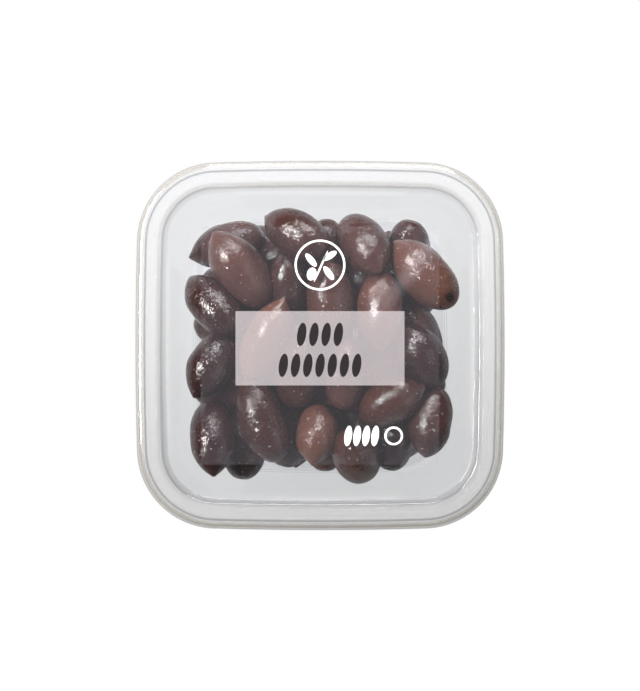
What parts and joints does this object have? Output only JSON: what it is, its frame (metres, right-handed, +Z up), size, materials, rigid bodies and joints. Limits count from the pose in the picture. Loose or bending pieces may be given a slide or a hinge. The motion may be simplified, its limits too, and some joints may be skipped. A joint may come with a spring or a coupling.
{
  "type": "tub of olives",
  "caption": "Clear square plastic tub with a press-on lid, filled with long dark olives; shut pack that stands on its foot ring.",
  "frame": {"origin": "centre of the foot ring's lower face, on the surface that the tub stands on", "axes": "+Z up through the lid, X and Y along the sides of the square tub"},
  "size_m": [0.119, 0.119, 0.072],
  "materials": {
    "tub_plastic": "clear, glossy, thin moulded plastic",
    "lid_plastic": "clear, slightly milky, glossy thin moulded plastic",
    "label_film": "hazy translucent printed film",
    "olive_skin": "wet, glossy, finely pitted dark brown to purple skin"
  },
  "bodies": {
    "root": {"tub": "tub_plastic", "lid": "lid_plastic", "label": "label_film", "olives": "olive_skin"}
  },
  "joints": []
}
